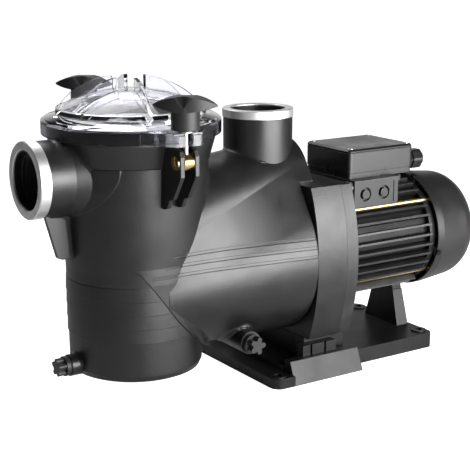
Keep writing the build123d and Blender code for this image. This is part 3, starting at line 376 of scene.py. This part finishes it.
def smoothed(points, edges, rounds):
    """Each point moves to the mean of its neighbours, again and again."""
    size = len(points)
    count = np.bincount(edges.ravel(), minlength=size)[:, None]
    for _ in range(rounds):
        total = np.empty_like(points)
        for axis in range(3):
            value = points[:, axis]
            total[:, axis] = (np.bincount(edges[:, 0], value[edges[:, 1]], size)
                              + np.bincount(edges[:, 1], value[edges[:, 0]], size))
        points = 0.3 * points + 0.7 * total / count
    return points


def smoothstep(value, low, high):
    t = np.clip((value - low) / (high - low), 0, 1)
    return t * t * (3 - 2 * t)


def volute_depth(points):
    """How far outside the volute each point is; negative inside."""
    t = np.clip((points[:, 0] - POT_X) / VOLUTE_LENGTH, 0, 1.1)[:, None]
    r_low, z_low, r_high, z_high = (VOLUTE_START + (VOLUTE_END - VOLUTE_START) * t).T
    best = np.full(len(points), 1.0)
    for share in np.linspace(0, 1, 9):
        radius = r_low + (r_high - r_low) * share
        height = z_low + (z_high - z_low) * share
        best = np.minimum(best, np.hypot(points[:, 1], points[:, 2] - height) - radius)
    return best


def fillet_weights(points):
    """Where the moulding's inside corners are softened: only on its outside, and away from the
    lugs, the lid's seat, the port rings and the flange."""
    x, y, z = points.T
    pot = np.hypot(x - POT_X, y)
    tower = np.hypot(x - DISCHARGE_X, y)
    suction = np.hypot(y, z - SUCTION_Z)
    weight = np.ones(len(points))
    weight[(pot < POT_INSIDE_R) & (x < POT_X + 0.075)] = 0
    weight[(volute_depth(points) < -0.0015) & (x > POT_X)] = 0
    weight[(tower < PORT_INSIDE_R) | (suction < PORT_INSIDE_R) & (x < POT_X)] = 0
    weight *= 1 - smoothstep(x, *FLANGE_X)
    weight *= smoothstep(x, *SUCTION_RING_X)
    weight *= 1 - smoothstep(z, *LID_SEAT_Z)
    near_lugs = (1 - smoothstep(abs(x - POT_X), 0.018, 0.026)) * smoothstep(z, 0.205, 0.215)
    return weight * (1 - near_lugs)


def raised(mesh, start, edges):
    """How far each point rises where smoothing fills an inside corner, and where it ends up. The low
    front, between pot and volute, is filled more softly."""
    normals = read(mesh.vertex_normals, "vector", np.float32, 3)
    small = smoothed(start, edges, 18)
    large = smoothed(small, edges, 80)
    x, _, z = start.T
    low_front = (1 - smoothstep(z, 0.14, 0.17)) * (1 - smoothstep(x, POT_X + 0.10, POT_X + 0.14))
    goal = small + (large - small) * (low_front * smoothstep(x, POT_X - 0.01, POT_X + 0.01))[:, None]
    rise = ((goal - start) * normals).sum(1)
    fill = rise * smoothstep(rise, 0.0004, 0.0018) * fillet_weights(start)
    return fill, start + normals * (fill - SUNK)[:, None]


def filled_faces(mesh, fill, edges):
    """The faces that the fillets raise, and two more rows around them."""
    keep = fill > LEAST_FILL
    for _ in range(2):
        keep[edges[keep[edges].any(1)].ravel()] = True
    polygons = read(mesh.polygons, "vertices", np.int32, 4)
    return polygons[keep[polygons].all(1)]


def body_fillets():
    """Closed skin that fills the inside corners between pot, volute, tower and suction neck."""
    mesh = remeshed(NODES["pump_body"], VOXEL)
    edges = read(mesh.edges, "vertices", np.int32, 2)
    start = smoothed(read(mesh.vertices, "co", np.float32, 3).astype(float), edges, 2)
    mesh.vertices.foreach_set("co", start.ravel())
    mesh.update()
    fill, final = raised(mesh, start, edges)
    used, index = np.unique(filled_faces(mesh, fill, edges), return_inverse=True)
    skin = new_piece("body_fillets", final[used].tolist(), index.reshape(-1, 4).tolist(), "pump",
                     "body_plastic")
    thick = skin.modifiers.new("thick", "SOLIDIFY")
    thick.thickness, thick.offset = SKIN, -1.0


body_fillets()


# ---- stage --------------------------------------------------------------------------------
def seen_directly(tree):
    """1 for what the camera sees, also through clear plastic, and 0 for reflections and lighting."""
    path = node(tree, "LightPath")
    total = node(tree, "Math", {0: path.outputs["Is Camera Ray"], 1: path.outputs["Is Transmission Ray"]},
                 operation="ADD", use_clamp=True)
    return total.outputs[0]


def floor_material():
    """Pale matt paint. It also glows for the camera, so that it stays white far away, and bounces
    less light than it shows, so that the object's undersides stay dark."""
    material, tree, shader = start_material("floor_paint")
    direct = seen_directly(tree)
    pale = mix_color(tree, noise(tree, 0.4, 2.0), (0.86, 0.86, 0.86), (0.88, 0.88, 0.88))
    connect(tree, shader, color=mix_color(tree, direct, (0.78, 0.78, 0.78), pale), rough=0.75)
    shader.inputs["Emission Color"].default_value = (1, 1, 1, 1)
    tree.links.new(ramp(tree, direct, 0, 1, 0.0, 0.97), shader.inputs["Emission Strength"])
    return material


def floor():
    """A wide pale floor."""
    mesh = bpy.data.meshes.new("floor")
    obj = bpy.data.objects.new("floor", mesh)
    bpy.context.scene.collection.objects.link(obj)
    size = 30.0
    corners = [(-size, -size, 0), (size, -size, 0), (size, size, 0), (-size, size, 0)]
    mesh.from_pydata(corners, [], [(0, 1, 2, 3)])
    mesh.materials.append(floor_material())


def area_light(name, place, target, size_x, size_y, watts):
    data = bpy.data.lights.new(name, "AREA")
    data.shape = "RECTANGLE"
    data.size, data.size_y, data.energy = size_x, size_y, watts
    obj = bpy.data.objects.new(name, data)
    obj.location = place
    obj.rotation_euler = (Vector(target) - Vector(place)).to_track_quat("-Z", "Y").to_euler()
    obj.visible_camera = False
    bpy.context.scene.collection.objects.link(obj)


def world_light(backdrop, ambient):
    """White for the camera. For lighting, a bright low backdrop behind the object and dim elsewhere."""
    world = bpy.data.worlds.new("studio")
    bpy.context.scene.world = world
    world.use_nodes = True
    tree = world.node_tree
    direction = node(tree, "TexCoord").outputs["Generated"]
    away = node(tree, "VectorMath", {0: direction, 1: (0.551, 0.835, 0.0)}, operation="DOT_PRODUCT")
    height = node(tree, "SeparateXYZ", {0: direction}).outputs["Z"]
    behind = ramp(tree, away.outputs["Value"], 0.5, 0.85)
    low = ramp(tree, height, 0.18, 0.36, 1.0, 0.0)
    both = node(tree, "Math", {0: behind, 1: low}, operation="MULTIPLY").outputs[0]
    lighting = ramp(tree, both, 0, 1, ambient, backdrop)
    strength = node(tree, "Mix", {"Factor": seen_directly(tree), "A": lighting, "B": 1.0}).outputs[0]
    tree.links.new(strength, tree.nodes["Background"].inputs["Strength"])
    tree.nodes["Background"].inputs["Color"].default_value = (1, 1, 1, 1)


def studio():
    """One very wide, low soft box at the front right, a weak one high up behind, and a pale
    backdrop."""
    world_light(1.0, 0.035)
    area_light("key", (0.37, -1.5, 0.37), (0.0, 0, 0.14), 1.65, 0.9, 74)
    area_light("back", (-0.1, 1.0, 1.5), (-0.1, 0, 0.12), 1.2, 1.0, 12)


def camera():
    """The viewing angle of the reference view, with its slight off-centre framing."""
    data = bpy.data.cameras.new("camera")
    obj = bpy.data.objects.new("camera", data)
    azimuth, elevation, distance = math.radians(-33.43), math.radians(13.75), 1.4111
    target = Vector((-0.1174, 0.0, 0.1551))
    back = Vector((math.sin(azimuth) * math.cos(elevation), -math.cos(azimuth) * math.cos(elevation),
                   math.sin(elevation)))
    obj.location = target + distance * back
    obj.rotation_euler = (-back).to_track_quat("-Z", "Y").to_euler()
    data.sensor_width, data.lens = 36.0, 92.69
    data.shift_x, data.shift_y = -0.0066, 0.0081
    bpy.context.scene.collection.objects.link(obj)
    bpy.context.scene.camera = obj


floor()
studio()
camera()
bpy.context.scene.view_settings.view_transform = "Standard"
